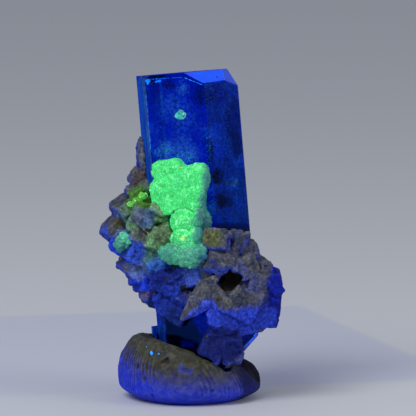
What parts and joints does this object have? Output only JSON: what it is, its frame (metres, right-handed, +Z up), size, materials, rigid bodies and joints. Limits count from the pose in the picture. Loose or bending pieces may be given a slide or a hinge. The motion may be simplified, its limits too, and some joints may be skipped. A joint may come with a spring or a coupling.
{
  "type": "aquamarine mineral specimen",
  "caption": "Blue six-sided beryl prism in blocky feldspar with green hyalite crusts, standing in a pressed lump of mounting putty.",
  "frame": {"origin": "middle of the specimen's outline, on the surface that it stands on", "axes": "+Z up, along the height; -Y towards the viewer of the picture; +X to the viewer's right"},
  "size_m": [0.0184, 0.0154, 0.0328],
  "materials": {
    "beryl": "clear blue crystal, polished natural faces",
    "feldspar": "rough grey-brown stone with blue shadows, as seen under ultraviolet light",
    "hyalite": "glossy botryoidal opal that glows green under ultraviolet light",
    "putty": "dull pressed putty with fingerprint ridges"
  },
  "bodies": {
    "root": {"aquamarine_crystal": "beryl", "feldspar_matrix": "feldspar", "hyalite_crust": "hyalite", "hyalite_upper_patch": "hyalite", "hyalite_left_patch": "hyalite", "hyalite_lozenge": "hyalite", "mounting_putty": "putty"}
  },
  "joints": []
}
